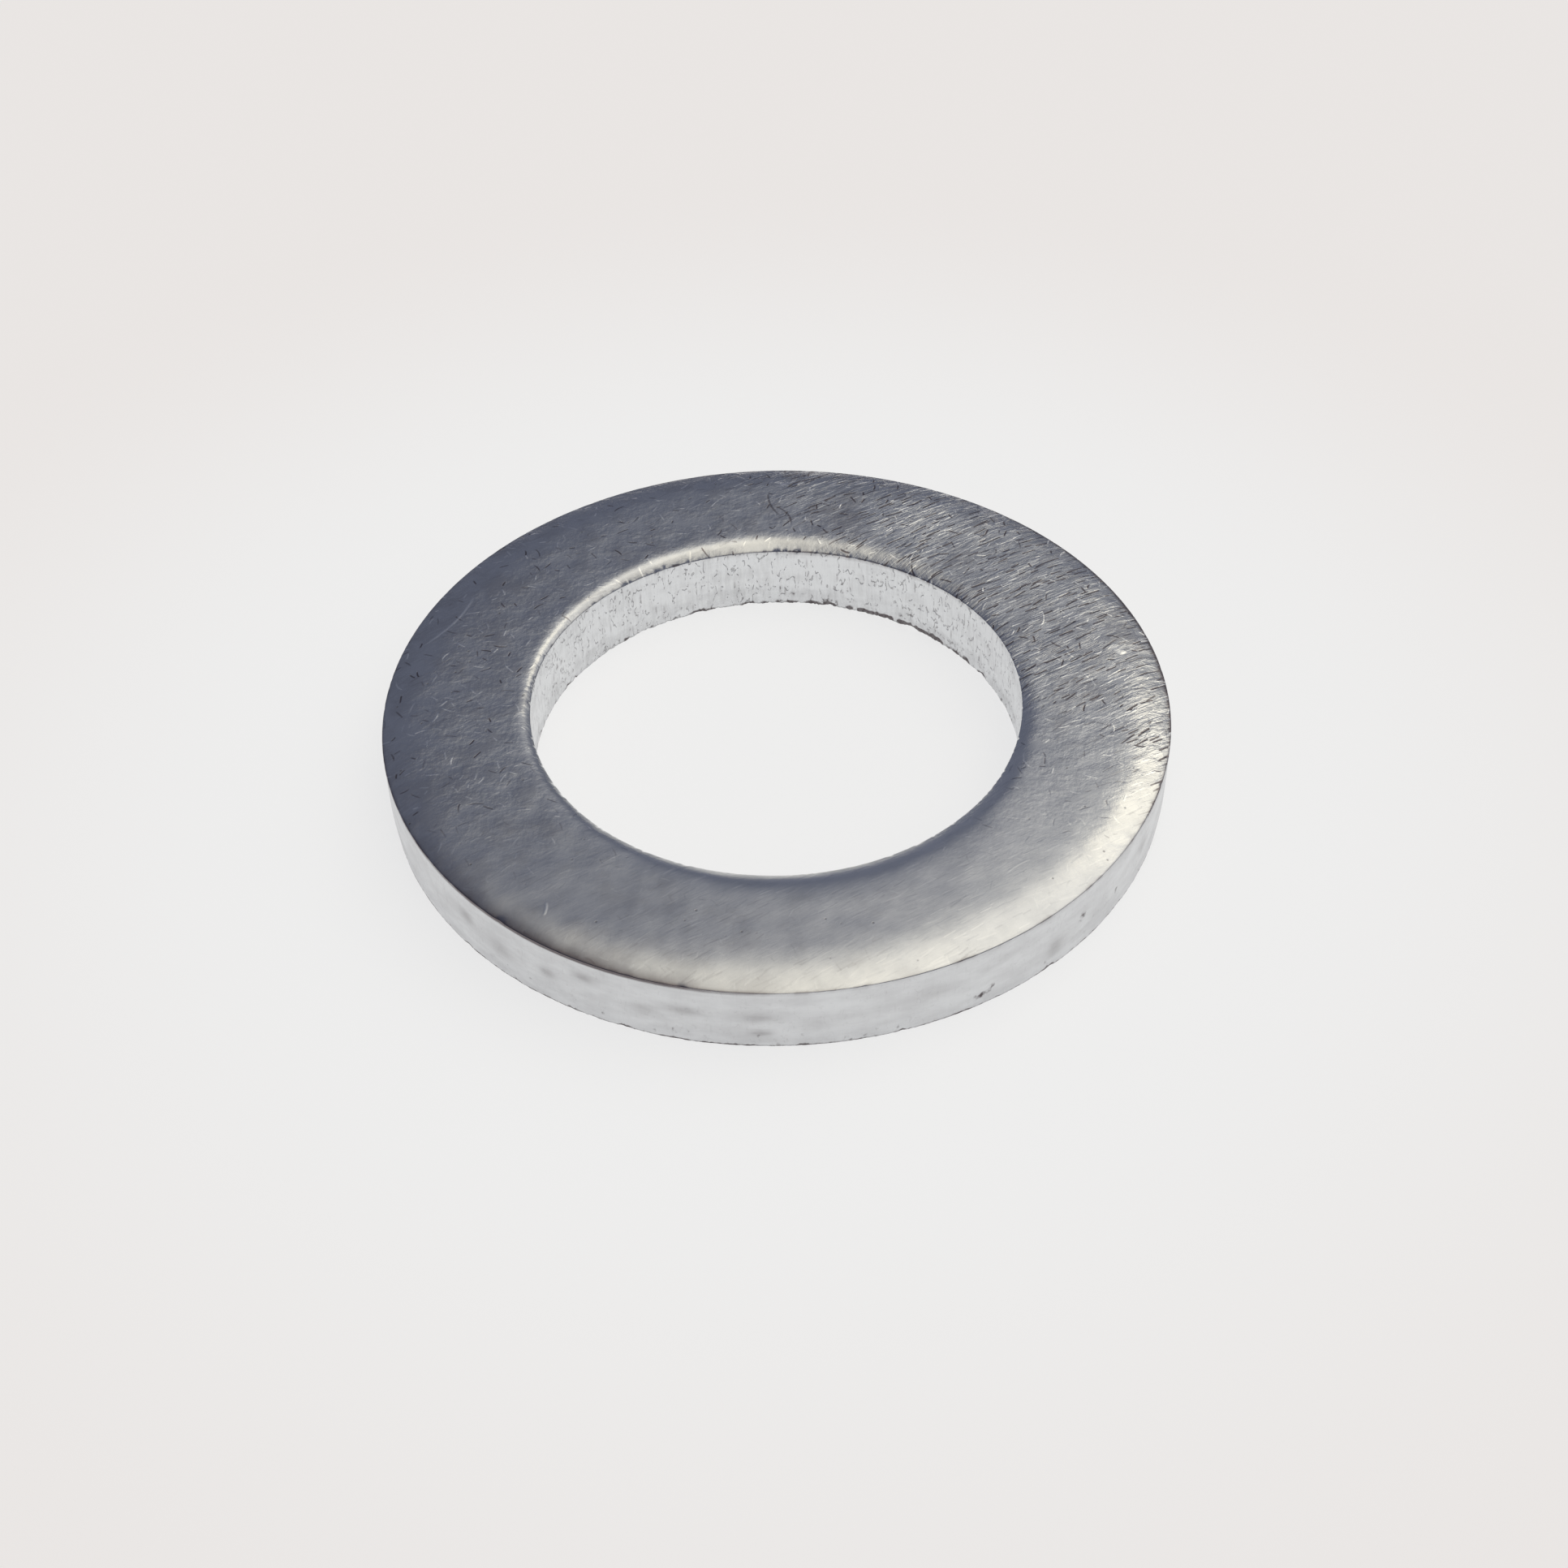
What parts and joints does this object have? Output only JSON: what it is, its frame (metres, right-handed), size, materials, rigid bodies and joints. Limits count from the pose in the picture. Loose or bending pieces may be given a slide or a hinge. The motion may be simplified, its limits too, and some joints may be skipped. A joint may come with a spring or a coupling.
{
  "type": "flat washer",
  "caption": "Flat round washer in bare aluminium, with a plain bore, rounded top rims and sheared walls.",
  "frame": {"origin": "centre of the bottom face, on the axis of the bore", "axes": "+Z along the bore axis, from the flat bottom face towards the top face with the rounded rims; X and Y are free, because the ring is round"},
  "size_m": [0.024, 0.024, 0.0025],
  "materials": {
    "aluminium": "dull mill finish with a lengthwise grain, fine tumbling scratches and bright sheared walls"
  },
  "bodies": {
    "root": {"washer": "aluminium"}
  },
  "joints": []
}
